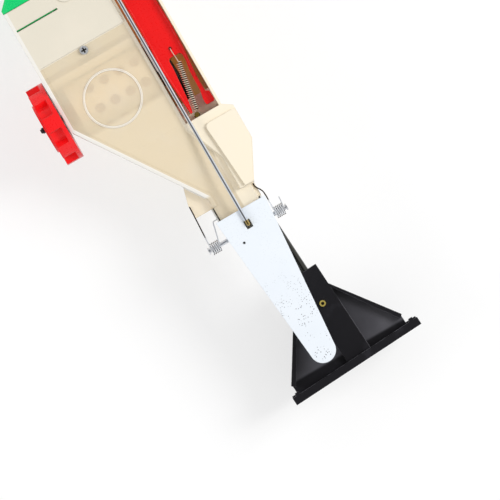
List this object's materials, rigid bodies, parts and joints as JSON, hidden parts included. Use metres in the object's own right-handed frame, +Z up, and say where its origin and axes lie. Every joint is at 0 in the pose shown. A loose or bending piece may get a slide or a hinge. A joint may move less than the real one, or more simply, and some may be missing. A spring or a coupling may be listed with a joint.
{
  "type": "jab planter",
  "caption": "Hand-held jab planter: a housing with seed drum and knob, a sprung depth foot on a leaning shaft, a fork slider, a pull-rod and an opening beak.",
  "frame": {"origin": "on the foot's sole, in line with the beak and the pull-rod", "axes": "+Z up along the tool, -Y is the front with the pull-rod, +X towards the mechanism channel"},
  "size_m": [0.2121, 0.087, 0.864],
  "materials": {
    "ivory_plastic": "moulded translucent plastic",
    "red_plastic": "glossy moulded plastic",
    "bright_steel": "bright drawn wire and rod",
    "black_plastic": "satin moulded plastic",
    "brass": "plated",
    "white_paint": "gloss paint on sheet steel",
    "green_plastic": "moulded translucent plastic",
    "drum_plastic": "moulded plastic"
  },
  "bodies": {
    "housing": {"front_shell": "ivory_plastic", "rear_shell": "ivory_plastic", "guide_cover": "ivory_plastic", "shell_screw_1": "bright_steel", "shell_screw_2": "bright_steel", "shell_screw_3": "bright_steel", "shell_screw_4": "bright_steel", "seed_wiper": "drum_plastic", "ratchet_leaf": "bright_steel", "axle_bush_left": "brass", "axle_bush_right": "brass", "shaft_bush": "brass", "spring_pin": "brass", "return_spring": "bright_steel", "beak_rear": "white_paint", "beak_screw_left": "bright_steel", "beak_screw_right": "bright_steel", "hinge_stub_left": "bright_steel", "hinge_stub_right": "bright_steel", "torsion_spring_left": "bright_steel", "torsion_spring_right": "bright_steel", "handle": "black_plastic", "grip_sleeve": "black_plastic", "handle_screw_left": "bright_steel", "handle_screw_right": "bright_steel"},
    "plunger": {"foot_shaft": "bright_steel", "foot": "black_plastic", "foot_screw": "brass", "shaft_clip_upper": "bright_steel", "shaft_clip_lower": "bright_steel"},
    "fork": {"slider": "red_plastic", "pawl": "bright_steel"},
    "opener": {"pull_rod": "bright_steel", "rod_collar": "brass"},
    "flap": {"beak_flap": "white_paint"},
    "drum": {"seed_drum": "drum_plastic", "drum_axle": "bright_steel", "ratchet_wheel": "black_plastic", "knob": "red_plastic", "knob_screw": "black_plastic"},
    "lid": {"hopper_lid": "green_plastic"}
  },
  "joints": [
    {"name": "foot_slide", "type": "slide", "parent": "housing", "child": "plunger", "axis": [-0.0576, 0, 0.9983], "range_m": [0, 0.055], "stiffness_N_per_m": 250, "springref_m": -0.04},
    {"name": "fork_slide", "type": "slide", "parent": "housing", "child": "fork", "axis": [0, 0, 1], "range_m": [0, 0.0555], "deforming": ["return_spring"]},
    {"name": "rod_slide", "type": "slide", "parent": "housing", "child": "opener", "axis": [0, 0, 1], "range_m": [0, 0.0052]},
    {"name": "flap_hinge", "type": "hinge", "parent": "housing", "child": "flap", "pos_m": [0, -0.022, 0.1584], "axis": [-1, 0, 0], "range_deg": [0, 22.2], "deforming": ["torsion_spring_left", "torsion_spring_right"]},
    {"name": "drum_spin", "type": "hinge", "parent": "housing", "child": "drum", "pos_m": [0, 0, 0.3285], "axis": [1, 0, 0], "continuous": true},
    {"name": "lid_lift", "type": "slide", "parent": "housing", "child": "lid", "axis": [0, 0, 1], "range_m": [0, 0.045]}
  ],
  "couplings": [
    {"joint": "fork_slide", "follows": "foot_slide", "ratio": 0.99834},
    {"joint": "rod_slide", "follows": "foot_slide", "ratio": 0.0909},
    {"joint": "flap_hinge", "follows": "foot_slide", "rad_per_m": 6.98}
  ]
}
